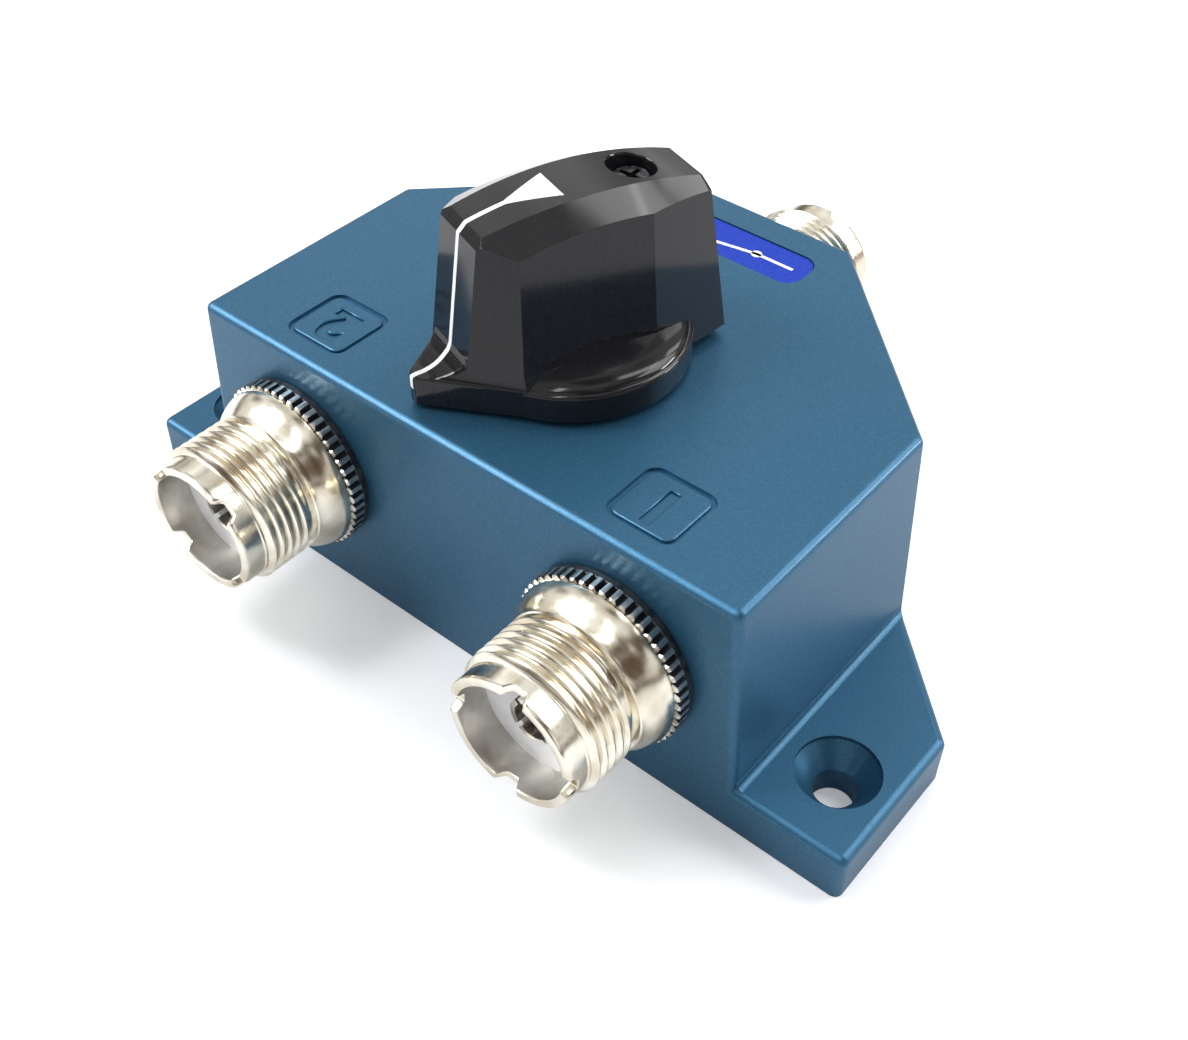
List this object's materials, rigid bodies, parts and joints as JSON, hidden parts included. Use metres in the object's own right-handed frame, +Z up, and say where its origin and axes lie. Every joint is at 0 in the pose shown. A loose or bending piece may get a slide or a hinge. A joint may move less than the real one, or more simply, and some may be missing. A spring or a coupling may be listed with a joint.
{
  "type": "coaxial antenna switch",
  "caption": "Coaxial antenna switch: painted die-cast box with mounting ears, threaded coaxial sockets front and rear, and a black rotary pointer knob on top.",
  "frame": {"origin": "middle of the underside: under the middle of the length over the sockets and of the width over the ears", "axes": "+X to the side of socket 1, +Y to the common socket at the rear, +Z up towards the knob"},
  "size_m": [0.096, 0.0814, 0.0484],
  "materials": {
    "paint": "fine hammertone, semi-gloss",
    "nickel": "nickel plate",
    "insulator": "waxy white fluoropolymer",
    "silver": "silver plate on copper alloy",
    "brass": "turned",
    "plated_steel": "zinc or nickel plate",
    "knob_plastic": "moulded gloss black",
    "label": "anodised foil, satin",
    "phenolic": "laminated board"
  },
  "bodies": {
    "case": {"housing": "paint", "bottom_cover": "plated_steel", "cover_screws": "plated_steel", "label_plate": "label", "socket_1_shell": "nickel", "socket_1_insulator": "insulator", "socket_1_contact": "silver", "socket_2_shell": "nickel", "socket_2_insulator": "insulator", "socket_2_contact": "silver", "socket_common_shell": "nickel", "socket_common_insulator": "insulator", "socket_common_contact": "silver", "socket_nuts": "nickel", "shaft_bushing": "brass", "detent_spring": "plated_steel", "detent_ball": "plated_steel", "stop_pin": "plated_steel", "contact_wafer": "phenolic", "wafer_screws": "plated_steel", "wafer_rivets": "brass", "strip_1": "silver", "strip_2": "silver", "strip_common": "silver", "ground_fingers": "brass"},
    "selector": {"knob": "knob_plastic", "knob_screw": "plated_steel", "drive_collar": "brass", "retaining_clip": "plated_steel", "shaft": "plated_steel", "detent_disc": "plated_steel", "rotor": "insulator", "contact_blade": "silver", "ground_ring": "brass", "rotor_screw": "plated_steel"}
  },
  "joints": [
    {"name": "selector_turn", "type": "hinge", "parent": "case", "child": "selector", "pos_m": [0, -0.0073, 0.0289], "axis": [0, 0, 1], "range_deg": [0, 39]}
  ]
}
